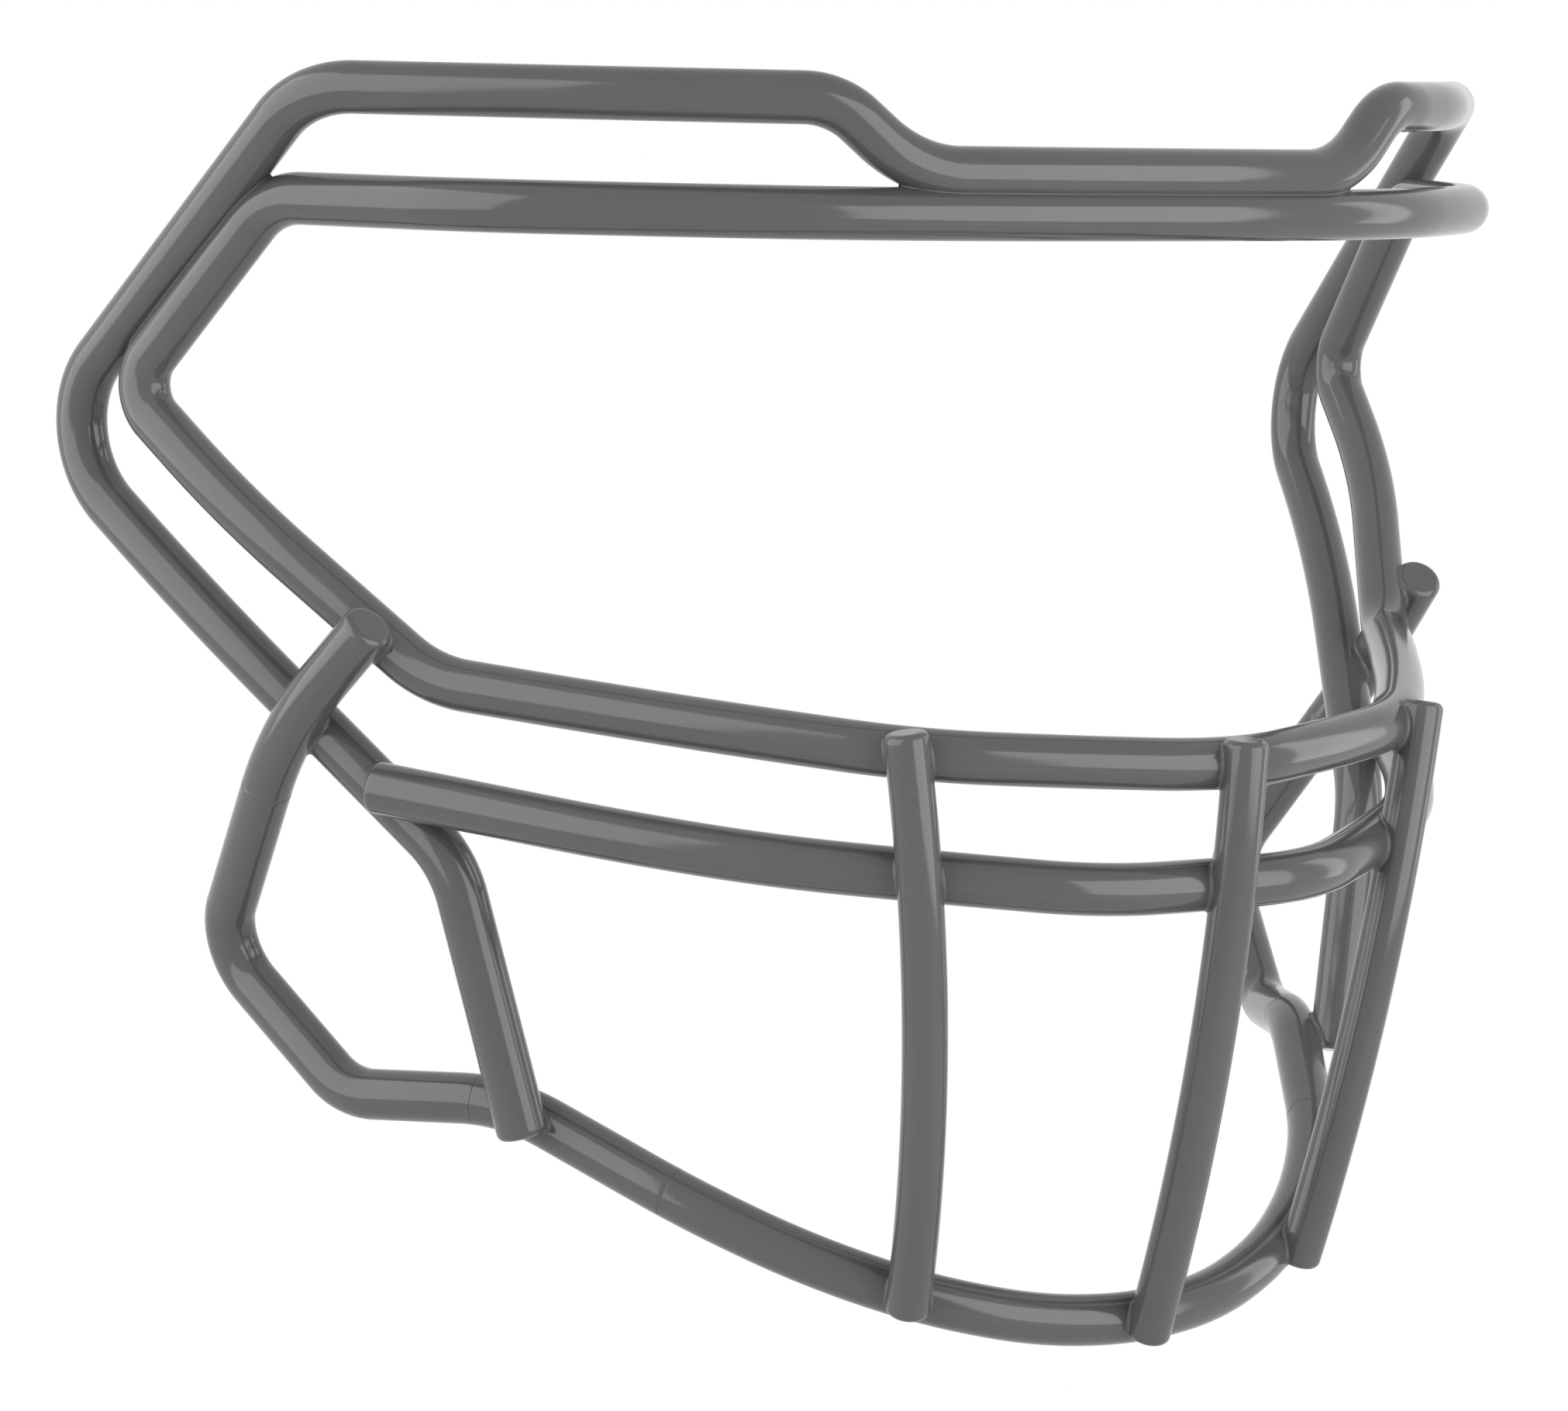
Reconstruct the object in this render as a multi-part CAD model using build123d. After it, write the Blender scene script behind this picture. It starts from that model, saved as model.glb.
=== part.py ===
from build123d import *
import os
from math import cos, radians, sin, sqrt, tan

# Welded wire face guard of a football helmet. +Z is up, the guard faces -Y and +X is the
# wearer's left. The origin lies between the twin brow bars, on the centre plane.

# Wire and coat
bar_wire = 6.35
upright_wire = 5.4
coat = 0.4
end_round = 1.1

# Eye loop: brow side, rear corners and front side
eye_half_width = 100.3
eye_brow_depth = 63.2
eye_rear_half_width = 108.3
eye_rear_depth = 89.9
eye_rear_drop = 26.5
eye_side_half_width = 101.6
eye_side_depth = 71.9
eye_side_drop = 42.6
eye_front_half_width = 84.5
eye_front_depth = 68.0
eye_front_drop = 76.5
eye_front_reach = 19.6
eye_brow_bend = 12.0
eye_rear_bend = 6.1
eye_front_bend = 18.9
brow_tilt = 2.2
eye_front_tilt = 9.1

# Outer frame: dipped brow side, rear corners and drops to the jaw
dip_half_width = 36.7
dip_rise_run = 10.7
brow_rise = 9.6
dip_lower_bend = 18.3
dip_upper_bend = 11.6
frame_brow_bend = 14.8
frame_rear_half_width = 111.9
frame_rear_depth = 108.0
frame_rear_drop = 32.9
frame_rear_bend = 13.8
frame_side_half_width = 101.8
frame_side_depth = 83.0
frame_side_drop = 55.9
frame_drop_half_width = 80.7
frame_drop_depth = 49.2
frame_drop_height = 90.6
frame_drop_bend = 15.5
frame_end_run = 0.6

# Lower front bar
lower_half_width = 69.8
lower_depth = 39.9
lower_reach = 15.8
lower_drop = 92.9
lower_tilt = 10.1
lower_end_setback = 1.9

# Jaw rod: hooks at the sides, links and chin bar
jaw_top_run = 3.8
jaw_foot_run = 0.8
jaw_foot_bend = 74.0
jaw_rear_half_width = 91.4
jaw_rear_depth = 95.7
jaw_rear_drop = 105.9
jaw_rear_bend = 9.0
jaw_low_half_width = 82.7
jaw_low_depth = 74.6
jaw_low_drop = 125.6
jaw_low_bend = 10.9
link_half_width = 70.3
link_depth = 52.4
link_drop = 124.8
link_bend = 30.6
chin_half_width = 55.2
chin_depth = 27.5
chin_front_depth = 1.6
chin_drop = 155.1
chin_tilt = 32.6
chin_bar_length = 139.0
link_length = 36.0

# Uprights
side_upright_top = 41.6
side_upright_foot = 32.1
side_upright_top_run = 3.8
upright_foot_run = 1.25
centre_upright_top_run = 4.1

# Welds
dip_set_down = 1.6
dip_seat_setback = 1.5
side_set_down = 1.1
hook_eye_set_down = 2.2
hook_frame_set_down = 2.4
drop_set_down = 1.5
lower_set_down = 1.9
upright_set_down = 2.4
weld_lip = 0.2
slant_weld = 4.4
end_weld = 4.1
side_nest_lean = 11.0

# Plan of each bar from the centre plane out: width shares, then depth shares
brow_width_shares = (0.18, 0.37)
brow_depth_shares = (0.006, 0.043)
eye_width_shares = (0.54, 0.71, 0.87)
eye_depth_shares = (0.136, 0.312, 0.512)
frame_width_shares = (0.115, 0.429, 0.727)
frame_depth_shares = (0.121, 0.35, 0.679)
front_width_shares = (0.26, 0.49, 0.705, 0.89)
front_depth_shares = (0.105, 0.222, 0.515, 0.812)
lower_width_shares = (0.265, 0.545, 0.795, 1.0)
lower_depth_shares = (0.024, 0.324, 0.62, 1.022)
chin_width_shares = (0.277, 0.554, 0.795, 1.0)
chin_depth_shares = (0.064, 0.279, 0.597, 0.992)
smooth_share = 0.48
bend_room_share = 1.35
side_nest_share = 0.434
jaw_eye_share = 0.832
jaw_frame_share = 0.444
lower_end_share = 0.704
link_seat_share = 0.195
search_steps = 40
seat_steps = 4

bar_diameter = bar_wire + coat + coat
upright_diameter = upright_wire + coat + coat
bar_radius = bar_diameter / 2
upright_radius = upright_diameter / 2
brow_level = -(bar_diameter - dip_set_down) / 2


def tilted(x, y, level, tilt, front=0.0):
    """Point of a bar that is bent flat in a plane rising to the rear."""
    return Vector(x, y, level + (y - front) * tan(radians(tilt)))


def plan(width, depth, width_shares, depth_shares, level, tilt, front=0.0):
    """Outline points of one half of a bar, from the centre plane outwards."""
    return [
        tilted(width * out, front + depth * back, level, tilt, front)
        for out, back in zip(width_shares, depth_shares)
    ]


def across(point):
    return Vector(-point.X, point.Y, point.Z)


def bends(points, radii, closed=False):
    """Radius at each corner; a corner without one runs as smoothly as its legs allow."""
    count = len(points)
    corners = range(count) if closed else range(1, count - 1)
    result = []
    for corner in corners:
        before = points[corner] - points[corner - 1]
        after = points[(corner + 1) % count] - points[corner]
        half_turn = radians(before.get_angle(after)) / 2
        longest = smooth_share * min(before.length, after.length) / tan(half_turn)
        wanted = radii[corner]
        result.append(longest if wanted is None else min(wanted, longest * bend_room_share))
    return result


def route(points, radii, closed=False):
    return FilletPolyline(*points, radius=bends(points, radii, closed), close=closed).wire()


def rod(path, radius, rounded=True):
    """Round wire along a path, with softly rounded ends."""
    start = Plane(origin=path @ 0, z_dir=path % 0)
    solid = sweep(start * Circle(radius), path=path).solid()
    if rounded:
        ends = solid.faces().filter_by(GeomType.PLANE)
        solid = fillet(ends.edges(), end_round).solid()
    return solid


def share_at(path, guess):
    """Place along a path, as a share of its length, nearest to a guess."""
    return path.param_at_point(path.closest_points(guess)[0])


def nearest(path, guess):
    """Point of a path nearest to a guess, with the direction of the path there."""
    share = share_at(path, guess)
    return path @ share, path % share


def at_width(path, x, inner, outer):
    """Point of a path at a given distance from the centre plane, between two guesses."""
    near_share, far_share = share_at(path, inner), share_at(path, outer)
    for _ in range(search_steps):
        middle = (near_share + far_share) / 2
        if (path @ middle).X < x:
            near_share = middle
        else:
            far_share = middle
    return path @ near_share, path % near_share


def outward(along, over):
    """Common normal of two crossing wires, on the outside of the guard."""
    normal = along.cross(over).normalized()
    return normal if normal.Y < 0 else -normal


def rested(targets, gaps):
    """Places of a wire that rests on the outside of the wires that it crosses."""
    places = [point for point, _ in targets]
    last = len(places) - 1
    for _ in range(seat_steps):
        runs = [places[min(i + 1, last)] - places[max(i - 1, 0)] for i in range(last + 1)]
        places = [
            point if along is None else point + outward(along, run) * gap
            for (point, along), run, gap in zip(targets, runs, gaps)
        ]
    return places


# Eye loop path
eye_rear = Vector(eye_rear_half_width, eye_rear_depth, -eye_rear_drop)
brow_plan = (eye_half_width, eye_brow_depth)
brow_inner = plan(*brow_plan, brow_width_shares, brow_depth_shares, brow_level, brow_tilt)
eye_outer = plan(*brow_plan, eye_width_shares, eye_depth_shares, brow_level, brow_tilt)
eye_corner = tilted(eye_half_width, eye_brow_depth, brow_level, brow_tilt)
front_size = (eye_front_half_width, eye_front_depth)
front_place = (-eye_front_drop, eye_front_tilt, -eye_front_reach)
eye_front = plan(*front_size, front_width_shares, front_depth_shares, *front_place)
eye_low = plan(*front_size, (1.0,), (1.0,), *front_place)[0]
eye_front_centre = tilted(0, -eye_front_reach, *front_place)
eye_middle = Vector(eye_side_half_width, eye_side_depth, -eye_side_drop)
eye_leg = [eye_corner, eye_rear, eye_middle, eye_low]
eye_side = brow_inner + eye_outer + eye_leg + eye_front[::-1]
eye_bends = [None] * 5 + [eye_brow_bend, eye_rear_bend, None, eye_front_bend] + [None] * 4
eye_points = [tilted(0, 0, brow_level, brow_tilt)] + eye_side + [eye_front_centre]
eye_points += [across(point) for point in eye_side[::-1]]
eye_radii = [None] + eye_bends + [None] + eye_bends[::-1]
eye_path = route(eye_points, eye_radii, closed=True)

# Outer frame path: the dip lies on the eye loop, and each side leg nestles against its side
dip_level = brow_level + bar_diameter - dip_set_down
raised_level = dip_level + brow_rise
leg = (eye_rear - eye_corner).normalized()
nest_point = eye_corner + (eye_rear - eye_corner) * side_nest_share
above = (Vector(0, 0, 1) - leg * leg.Z).normalized()
nest_normal = above.rotate(Axis((0, 0, 0), leg), side_nest_lean)
nest_place = nest_point + nest_normal * (bar_diameter - side_set_down)
frame_rear = Vector(frame_rear_half_width, frame_rear_depth, -frame_rear_drop)
rise_slope = tan(radians(brow_tilt))
frame_leg = nest_place - frame_rear
lift = raised_level + frame_rear.Y * rise_slope - frame_rear.Z
frame_corner = frame_rear + frame_leg * (lift / (frame_leg.Z - frame_leg.Y * rise_slope))
rise_out = dip_half_width + dip_rise_run
rise_y = eye_brow_depth * brow_depth_shares[-1]
frame_span = frame_corner.X - rise_out
frame_sweep = frame_corner.Y - rise_y
frame_place = (raised_level, brow_tilt)
frame_outer = [
    tilted(rise_out + frame_span * out, rise_y + frame_sweep * back, *frame_place)
    for out, back in zip(frame_width_shares, frame_depth_shares)
]
frame_rise = [
    tilted(dip_half_width, rise_y, dip_level, brow_tilt),
    tilted(rise_out, (rise_y + frame_outer[0].Y) / 2, *frame_place),
]
frame_side = Vector(frame_side_half_width, frame_side_depth, -frame_side_drop)
frame_drop = Vector(frame_drop_half_width, frame_drop_depth, -frame_drop_height)
frame_side_bends = [frame_rear_bend, None]
frame_side_points = [frame_corner, frame_rear, frame_side, frame_drop]
frame_side_path = route(frame_side_points, [None] + frame_side_bends + [None])

# Jaw rod path: each hook rests on the eye loop and on the outer frame
hook_gaps = (bar_diameter - hook_eye_set_down, bar_diameter - hook_frame_set_down)
eye_seat = nearest(eye_path, eye_rear + (eye_low - eye_rear) * jaw_eye_share)
frame_run = frame_drop - frame_side
frame_seat = nearest(frame_side_path, frame_side + frame_run * jaw_frame_share)
hook_places = rested([eye_seat, frame_seat], hook_gaps)
hook_run = (hook_places[1] - hook_places[0]).normalized()
jaw_top = hook_places[0] - hook_run * jaw_top_run
jaw_foot = hook_places[1] + hook_run * jaw_foot_run
jaw_rear = Vector(jaw_rear_half_width, jaw_rear_depth, -jaw_rear_drop)
jaw_low = Vector(jaw_low_half_width, jaw_low_depth, -jaw_low_drop)
jaw_link = Vector(link_half_width, link_depth, -link_drop)
chin_size = (chin_half_width, chin_depth)
chin_place = (-chin_drop, chin_tilt, chin_front_depth)
chin_side = plan(*chin_size, chin_width_shares, chin_depth_shares, *chin_place)
jaw_side = [jaw_top, jaw_foot, jaw_rear, jaw_low, jaw_link] + chin_side[::-1]
jaw_bends = [None, jaw_foot_bend, jaw_rear_bend, jaw_low_bend, link_bend] + [None] * 4
chin_centre = tilted(0, chin_front_depth, *chin_place)
jaw_points = jaw_side + [chin_centre] + [across(point) for point in jaw_side[::-1]]
jaw_path = route(jaw_points, jaw_bends + [None] + jaw_bends[::-1])

# Outer frame ends: each drop passes outside the link of the jaw rod
link_seat = nearest(jaw_path, jaw_link + (chin_side[-1] - jaw_link) * link_seat_share)
drop_gaps = (0, bar_diameter - drop_set_down)
drop_place = rested([(frame_drop, None), link_seat], drop_gaps)[1]
drop_end = drop_place + (drop_place - frame_drop).normalized() * frame_end_run
frame_start = tilted(brow_inner[0].X, brow_inner[0].Y, dip_level, brow_tilt)
frame_half = [frame_start] + frame_rise + frame_outer + frame_side_points + [drop_end]
frame_bends = [None, dip_lower_bend, dip_upper_bend] + [None] * 3 + [frame_brow_bend]
frame_bends += frame_side_bends + [frame_drop_bend, None]
frame_centre = tilted(0, 0, dip_level, brow_tilt)
frame_points = [across(point) for point in frame_half[::-1]] + [frame_centre] + frame_half
frame_path = route(frame_points, frame_bends[::-1] + [None] + frame_bends)

# Lower front bar path: its ends rest on the outside of the frame drops
lower_size = (lower_half_width, lower_depth)
lower_place = (-lower_drop, lower_tilt, -lower_reach)
lower_side = plan(*lower_size, lower_width_shares, lower_depth_shares, *lower_place)
lower_seat = nearest(frame_side_path, frame_side + frame_run * lower_end_share)
lower_gaps = (0, bar_diameter - lower_set_down)
lower_contact = rested([(lower_side[-1], None), lower_seat], lower_gaps)[1]
lower_run = (lower_contact - lower_side[-1]).normalized()
lower_half = lower_side + [lower_contact - lower_run * lower_end_setback]
lower_centre = tilted(0, -lower_reach, *lower_place)
lower_points = [across(point) for point in lower_half[::-1]] + [lower_centre] + lower_half
lower_path = route(lower_points, [None] * len(lower_points))


def upright(top_x, foot_x, top_run):
    """Path of an upright bowed over the eye loop, the lower bar and the chin bar."""
    top = at_width(eye_path, top_x, eye_front_centre, eye_low)
    foot = at_width(jaw_path, foot_x, chin_centre, chin_side[-1])
    drop_share = (top[0].Z - lower_centre.Z) / (top[0].Z - foot[0].Z)
    middle_x = top_x + (foot_x - top_x) * drop_share
    middle = at_width(lower_path, middle_x, lower_centre, lower_side[-1])
    contacts = [top, middle, foot]
    gap = bar_radius + upright_radius - upright_set_down
    places = rested(contacts, [gap] * len(contacts))
    bow = ThreePointArc(*places)
    head = Line(places[0] - (bow % 0) * top_run, places[0])
    tail = Line(places[2], places[2] + (bow % 1) * upright_foot_run)
    return Wire([head, bow, tail]), contacts, places


side_upright, side_contacts, side_places = upright(
    side_upright_top, side_upright_foot, side_upright_top_run
)
centre_upright, centre_contacts, centre_places = upright(0, 0, centre_upright_top_run)

# Solids: the twin brow bars are pressed flat where they meet, and any other wire in front
# is seated on the wires that it crosses
eye_rod = rod(eye_path, bar_radius, rounded=False)
frame_rod = rod(frame_path, bar_radius)
centre_place = share_at(jaw_path, chin_centre)
chin_share = chin_bar_length / (2 * jaw_path.length)
link_share = link_length / jaw_path.length
link_start = centre_place - chin_share - link_share
chin_start = centre_place - chin_share
chin_bar = rod(jaw_path.trim(chin_start, centre_place + chin_share), bar_radius, rounded=False)
jaw_link_left = rod(jaw_path.trim(link_start, chin_start), bar_radius, rounded=False)
jaw_link_right = mirror(jaw_link_left, about=Plane.YZ)
lower_rod = rod(lower_path, bar_radius)
hook_rod = rod(jaw_path.trim(0, link_start), bar_radius, rounded=False)
hook_top = hook_rod.faces().filter_by(GeomType.PLANE).sort_by(Axis.Z)[-1]
hook_rod = fillet(hook_top.edges(), end_round).solid()
side_rod = rod(side_upright, upright_radius)
centre_rod = rod(centre_upright, upright_radius)
seat_plane = Plane(origin=(0, 0, (brow_level + dip_level) / 2)).rotated((brow_tilt, 0, 0))
seat_width = bar_diameter + bar_diameter
seat_length = 2 * (dip_half_width - dip_seat_setback)
rise_length = 2 * (dip_half_width + dip_rise_run)
above_seat = (Align.CENTER, Align.CENTER, Align.MIN)
below_seat = (Align.CENTER, Align.CENTER, Align.MAX)
eye_loop = eye_rod - seat_plane * Box(seat_length, seat_width, bar_radius, align=above_seat)
outer_frame = frame_rod - seat_plane * Box(rise_length, seat_width, bar_radius, align=below_seat)
outer_frame = outer_frame - eye_loop - jaw_link_left - jaw_link_right
lower_bar = lower_rod - outer_frame
jaw_hook_left = hook_rod - eye_loop - outer_frame
side_bar = side_rod - eye_loop - lower_bar - chin_bar
centre_bar = centre_rod - eye_loop - lower_bar - chin_bar


def crossing(path_below, path_above, guess):
    """Nearest places of two crossing wires, each with the wire's direction there."""
    above = nearest(path_above, guess)
    for _ in range(seat_steps):
        below = nearest(path_below, above[0])
        above = nearest(path_above, below[0])
    return below, above


def seat_reach(below, above, radius):
    """Reach of a bead that closes round the whole seat of one wire on another."""
    sunk = bar_radius + radius - (above[0] - below[0]).length
    half_span = sqrt(2 * sunk / (1 / bar_radius + 1 / radius))
    turn = radians(below[1].get_angle(above[1]))
    return half_span / min(sin(turn / 2), cos(turn / 2)) + weld_lip


def weld(below, above, radius, reach, wires, end=None):
    """Bead that fills the crease round the contact of two wires, up to the end of a wire."""
    spacing = above - below
    middle = below + spacing.normalized() * (bar_radius + spacing.length - radius) / 2
    bead = Plane(origin=middle, z_dir=spacing) * Sphere(reach)
    for wire in wires:
        bead = bead - wire
    if end is not None:
        path, place, way = end
        out = path % place * way
        face = Plane(origin=path @ place - out * end_round, z_dir=out)
        bead = bead - face * Cylinder(reach + reach, reach + reach, align=above_seat)
    return bead.solids().sort_by(Axis.Y)[0]


nodes = {
    "eye_loop_bar": eye_loop,
    "outer_frame_bar": outer_frame,
    "lower_front_bar": lower_bar,
    "chin_bar": chin_bar,
    "center_upright": centre_bar,
}
paired = {
    "jaw_hook": jaw_hook_left,
    "jaw_link": jaw_link_left,
    "side_upright": side_bar,
}
crossed = {
    "eye": (eye_path, eye_rod),
    "lower": (lower_path, lower_rod),
    "chin": (jaw_path, chin_bar),
}
upright_sets = (
    ("side", paired, side_rod, side_upright, side_places),
    ("center", nodes, centre_rod, centre_upright, centre_places),
)
for prefix, group, upright_rod, path, places in upright_sets:
    for (name, (base_path, base)), place in zip(crossed.items(), places):
        end = (path, 1, 1) if name == "chin" else None
        below, above = crossing(base_path, path, place)
        reach = seat_reach(below, above, upright_radius)
        bead = weld(below[0], above[0], upright_radius, reach, (base, upright_rod), end)
        group[f"{prefix}_{name}_weld"] = bead
hooked = {
    "hook_eye_weld": (eye_path, hook_places[0], eye_rod),
    "hook_frame_weld": (frame_path, hook_places[1], frame_rod),
}
for name, (base_path, place, base) in hooked.items():
    below, above = crossing(base_path, jaw_path, place)
    reach = seat_reach(below, above, bar_radius)
    paired[name] = weld(below[0], above[0], bar_radius, reach, (base, hook_rod))
dip_end = tilted(dip_half_width, rise_y, brow_level, brow_tilt)
drop_end_face = (frame_path, 1, 1)
bar_welds = {
    "drop_weld": (link_seat[0], drop_place, slant_weld, jaw_link_left, frame_rod, drop_end_face),
    "lower_bar_weld": (lower_seat[0], lower_contact, end_weld, frame_rod, lower_rod, None),
    "brow_weld": (dip_end, frame_rise[0], slant_weld, eye_rod, frame_rod, None),
    "side_weld": (nest_point, nest_place, slant_weld, eye_rod, frame_rod, None),
}
for name, (below, above, reach, base, over, end) in bar_welds.items():
    paired[name] = weld(below, above, bar_radius, reach, (base, over), end)

for name, solid in paired.items():
    nodes[f"{name}_left"] = solid
    nodes[f"{name}_right"] = mirror(solid, about=Plane.YZ)

os.makedirs("parts", exist_ok=True)
for name, solid in nodes.items():
    export_step(solid, f"parts/{name}.step")
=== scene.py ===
from math import cos, pi, radians, sin, sqrt, tan

import bmesh
import bpy
import numpy as np
from mathutils import Matrix, Vector


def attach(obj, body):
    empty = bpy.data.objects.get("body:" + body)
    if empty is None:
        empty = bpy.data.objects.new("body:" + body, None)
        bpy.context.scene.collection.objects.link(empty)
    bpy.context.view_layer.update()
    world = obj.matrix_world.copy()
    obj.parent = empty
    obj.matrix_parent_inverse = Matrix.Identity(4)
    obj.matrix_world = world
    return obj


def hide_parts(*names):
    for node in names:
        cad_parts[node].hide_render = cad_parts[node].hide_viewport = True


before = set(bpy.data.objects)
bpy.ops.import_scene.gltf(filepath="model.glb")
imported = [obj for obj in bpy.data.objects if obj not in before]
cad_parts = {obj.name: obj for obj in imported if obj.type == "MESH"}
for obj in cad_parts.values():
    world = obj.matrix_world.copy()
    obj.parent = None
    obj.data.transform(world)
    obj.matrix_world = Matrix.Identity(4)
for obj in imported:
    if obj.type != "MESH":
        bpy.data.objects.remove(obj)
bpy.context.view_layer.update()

scene = bpy.context.scene
mm = 0.001
tiny = 1e-12        # keeps a run of no length from dividing by nothing
joined = 0.000001   # metres: vertices nearer than this are one
print("frame loaded, nodes:", len(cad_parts))

# the photograph's viewpoint: the camera's place, and the way back from what it looks at
view = {
    "place": (-0.47775, -0.60995, -0.00484), "back": (-0.56345, -0.82197, 0.08295),
    "lens": 129.97, "sensor": 36, "shift": (-0.00008, -0.00237), "clip": (0.05, 50),
}
cameraData = bpy.data.cameras.new("studioCamera")
cameraData.sensor_width = view["sensor"]
cameraData.lens = view["lens"]
cameraData.shift_x, cameraData.shift_y = view["shift"]
cameraData.clip_start, cameraData.clip_end = view["clip"]
camera = bpy.data.objects.new("studioCamera", cameraData)
back = Vector(view["back"]).normalized()
right = Vector((0, 0, 1)).cross(back).normalized()
up = back.cross(right)
turned = Matrix((right, up, back)).transposed().to_4x4()
camera.matrix_world = Matrix.Translation(view["place"]) @ turned
scene.collection.objects.link(camera)
bpy.context.scene.camera = camera


# wire paths, all in millimetres
def tilted(x, y, level, tilt, front=0.0):
    # a point of a bar that is bent flat in a plane rising to the rear
    return Vector((x, y, level + (y - front) * tan(radians(tilt))))


def planOf(width, depth, outs, backs, level, tilt, front=0.0):
    # corners of such a bar, from shares of its half width and of its depth
    return [tilted(width * out, front + depth * rear, level, tilt, front)
            for out, rear in zip(outs, backs)]


def mirrored(points):
    return [Vector((-point.x, point.y, point.z)) for point in points[::-1]]


# how finely bends are cut, and the room that a bend without a radius of its own takes
bending = {
    "sag": 0.0016, "turn": 0.02, "leastSteps": 2,
    "legShare": 0.48, "besideFixed": 0.96, "closest": 0.01,
}


def bendWire(corners, radii, closed=False):
    # straight runs and tangent arcs, close enough together to read as one smooth bend
    count = len(corners)
    order = range(count) if closed else range(1, count - 1)
    tangents = [0.0] * count
    turns = {}
    for i in order:
        before, after = corners[i] - corners[i - 1], corners[(i + 1) % count] - corners[i]
        turns[i] = (before.normalized(), after.normalized(), before.angle(after))
        if radii[i] is not None:
            tangents[i] = radii[i] * tan(turns[i][2] / 2)
    for i in order:
        if radii[i] is not None:
            continue
        neighbours = (i - 1, (i + 1) % count)
        legs = [(corners[i] - corners[n]).length for n in neighbours]
        tangents[i] = bending["legShare"] * min(legs)
        for leg, n in zip(legs, neighbours):
            if radii[n] is not None:
                tangents[i] = min(tangents[i], (leg - tangents[n]) * bending["besideFixed"])
    stations = [] if closed else [corners[0].copy()]
    for i in order:
        before, after, turn = turns[i]
        radius = tangents[i] / tan(turn / 2)
        inward = (after - before * cos(turn)).normalized()
        centre = corners[i] - before * tangents[i] + inward * radius
        finest = min(sqrt(8 * bending["sag"] / radius), bending["turn"])
        steps = max(bending["leastSteps"], int(turn / finest) + 1)
        for k in range(steps + 1):
            a = turn * k / steps
            stations.append(centre - inward * radius * cos(a) + before * radius * sin(a))
    if not closed:
        stations.append(corners[-1].copy())
    kept = [stations[0]]
    for station in stations[1:]:
        if (station - kept[-1]).length > bending["closest"]:
            kept.append(station)
    return kept


class Path:
    # a wire's centre line with what is needed to find a place on it
    def __init__(self, stations, closed=False):
        self.stations = stations
        self.closed = closed
        line = stations + [stations[0]] if closed else stations
        self.line = np.array([tuple(p) for p in line])
        self.runs = np.diff(self.line, axis=0)
        self.lengths = np.sqrt((self.runs ** 2).sum(1))
        self.marks = np.concatenate([[0], self.lengths.cumsum()])

    def nearest(self, guess):
        # how far along the wire the place nearest to a guess is
        g = np.array(tuple(guess))
        t = ((g - self.line[:-1]) * self.runs).sum(1) / (self.lengths ** 2 + tiny)
        t = t.clip(0, 1)
        gap = ((self.line[:-1] + t[:, None] * self.runs - g) ** 2).sum(1)
        i = int(gap.argmin())
        return self.marks[i] + t[i] * self.lengths[i]

    def at(self, mark):
        # the place and the direction there
        i = int(np.searchsorted(self.marks, mark, side="right")) - 1
        i = min(max(i, 0), len(self.runs) - 1)
        t = (mark - self.marks[i]) / (self.lengths[i] + tiny)
        return Vector(self.line[i] + t * self.runs[i]), Vector(self.runs[i]).normalized()

    def seat(self, guess):
        return self.at(self.nearest(guess))

    def atWidth(self, x, inner, outer, halvings=40):
        # the place that far out from the middle, between an inner and an outer guess
        near, far = self.nearest(inner), self.nearest(outer)
        for _ in range(halvings):
            middle = (near + far) / 2
            if self.at(middle)[0].x < x:
                near = middle
            else:
                far = middle
        return self.at(near)


def outward(along, over):
    normal = along.cross(over).normalized()
    return normal if normal.y < 0 else -normal


def rested(targets, gaps, rounds=4):
    # places of a wire that rests on the outside of the wires that it crosses
    places = [point for point, _ in targets]
    last = len(places) - 1
    for _ in range(rounds):
        runs = [places[min(i + 1, last)] - places[max(i - 1, 0)] for i in range(last + 1)]
        places = [
            point if along is None else point + outward(along, run) * gap
            for (point, along), run, gap in zip(targets, runs, gaps)
        ]
    return places


wire = {"bar": 3.575, "upright": 3.1, "endRound": 1.1}
# how far the wire in front is pressed into the wire that it rests on
pressed = {
    "dip": 1.6, "side": 1.1, "hookEye": 2.2, "hookFrame": 2.4,
    "drop": 1.5, "lower": 1.9, "upright": 2.4,
}
twoBars = 2 * wire["bar"]
browLevel = -(twoBars - pressed["dip"]) / 2
dipLevel = browLevel + twoBars - pressed["dip"]

eyeLoop = {
    "tilt": 2.2, "corner": (100.3, 63.2),
    "browOuts": (0.18, 0.37, 0.54, 0.71, 0.87), "browBacks": (0.006, 0.043, 0.136, 0.312, 0.512),
    "rear": (108.3, 89.9, -26.5), "side": (101.6, 71.9, -42.6),
    "front": (84.5, 68.0), "frontPlace": (-76.5, 9.1, -19.6),
    "frontOuts": (0.26, 0.49, 0.705, 0.89), "frontBacks": (0.105, 0.222, 0.515, 0.812),
    "bends": (12.0, 6.1, None, 18.9),
}
tilt = eyeLoop["tilt"]
browShares = (eyeLoop["browOuts"], eyeLoop["browBacks"])
frontShares = (eyeLoop["frontOuts"], eyeLoop["frontBacks"])
eyeBrow = planOf(*eyeLoop["corner"], *browShares, browLevel, tilt)
eyeCorner = tilted(*eyeLoop["corner"], browLevel, tilt)
eyeRear = Vector(eyeLoop["rear"])
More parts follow.
